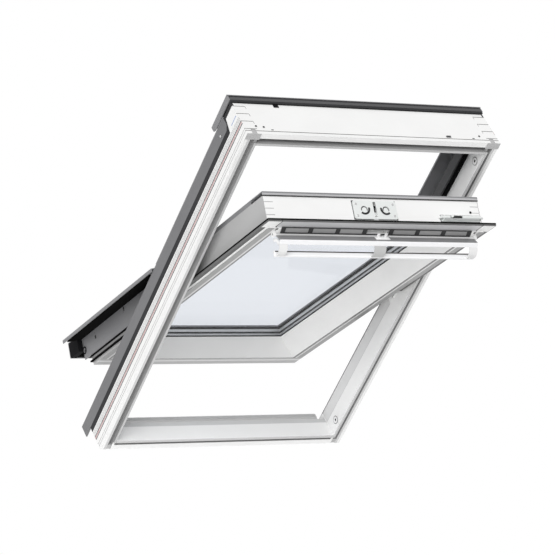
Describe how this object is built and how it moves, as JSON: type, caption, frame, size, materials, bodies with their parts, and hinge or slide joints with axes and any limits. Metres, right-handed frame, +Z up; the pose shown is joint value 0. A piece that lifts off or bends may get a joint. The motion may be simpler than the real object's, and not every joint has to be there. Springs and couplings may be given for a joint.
{
  "type": "roof window",
  "caption": "Centre-pivot roof window: white frame with grey weather covers, tilted glazed sash, ventilation flap with control bar, latch and barrel bolt.",
  "frame": {"origin": "centre of the frame's lining groove, on the plane of the nose", "axes": "+X across the width, +Y out to the weather side, +Z up the slope"},
  "size_m": [0.666, 0.5245, 1.014],
  "materials": {
    "white_lacquer": "smooth white coat over timber",
    "white_plastic": "moulded white",
    "white_bar": "white coated aluminium section",
    "grey_aluminium": "grey coated sheet",
    "charcoal_aluminium": "charcoal coated sheet",
    "black_rubber": "matt seal",
    "black_plastic": "moulded black",
    "grey_plastic": "moulded grey",
    "zinc_plate": "zinc plated",
    "bright_steel": "plated",
    "clear_glass": "clear",
    "spacer": "matt spacer bar"
  },
  "bodies": {
    "frame": {"head": "white_lacquer", "sill": "white_lacquer", "left_jamb": "white_lacquer", "right_jamb": "white_lacquer", "corner_keys": "grey_plastic", "jamb_stops": "grey_plastic", "left_side_seal": "black_rubber", "right_side_seal": "black_rubber", "left_side_cladding": "grey_aluminium", "right_side_cladding": "grey_aluminium", "left_upper_cover": "grey_aluminium", "right_upper_cover": "grey_aluminium", "top_cover": "grey_aluminium", "hood_strip": "charcoal_aluminium", "sill_cover": "grey_aluminium", "sill_seal": "black_rubber", "upper_frame_seal": "black_rubber", "striker_plate": "zinc_plate", "bolt_bushings": "white_plastic", "left_hinge_frame": "zinc_plate", "right_hinge_frame": "zinc_plate", "hinge_screws": "bright_steel"},
    "sash": {"top_rail": "white_lacquer", "bottom_rail": "white_lacquer", "left_stile": "white_lacquer", "right_stile": "white_lacquer", "top_flange": "grey_aluminium", "inner_pane": "clear_glass", "outer_pane": "clear_glass", "glass_spacer": "spacer", "inner_gasket": "black_rubber", "outer_gasket": "black_rubber", "sash_seal": "black_rubber", "lower_sash_seal": "black_rubber", "top_cladding": "grey_aluminium", "left_upper_cladding": "grey_aluminium", "right_upper_cladding": "grey_aluminium", "left_lower_cover": "grey_aluminium", "right_lower_cover": "grey_aluminium", "cover_foam": "black_rubber", "bottom_cover": "grey_aluminium", "apron_foam": "black_rubber", "left_end_cap": "black_plastic", "right_end_cap": "black_plastic", "left_hinge_sash": "zinc_plate", "right_hinge_sash": "zinc_plate", "vent_grille": "black_plastic", "vent_filter": "grey_plastic", "flap_bearings": "white_plastic", "lock_plate": "zinc_plate", "lock_screws": "bright_steel", "bolt_housing": "zinc_plate"},
    "vent_flap": {"vent_flap": "grey_aluminium", "flap_edge": "white_bar", "flap_end_caps": "white_plastic", "bar_brackets": "white_plastic", "control_bar": "white_bar"},
    "lock_latch": {"lock_latch": "bright_steel"},
    "barrel_bolt": {"barrel_bolt": "bright_steel"}
  },
  "joints": [
    {"name": "sash_pivot", "type": "hinge", "parent": "frame", "child": "sash", "pos_m": [0, 0.12, 0], "axis": [1, 0, 0], "range_deg": [-25.4, 134.6]},
    {"name": "flap_turn", "type": "hinge", "parent": "sash", "child": "vent_flap", "pos_m": [0, -0.14052, 0.33183], "axis": [1, 0, 0], "range_deg": [-45, 0]},
    {"name": "latch_turn", "type": "hinge", "parent": "sash", "child": "lock_latch", "pos_m": [0, -0.10261, 0.35924], "axis": [1, 0, 0], "range_deg": [0, 40]},
    {"name": "bolt_slide", "type": "slide", "parent": "sash", "child": "barrel_bolt", "axis": [1, 0, 0], "range_m": [0, 0.026]}
  ],
  "couplings": [
    {"joint": "latch_turn", "follows": "flap_turn", "ratio": -0.88889}
  ]
}
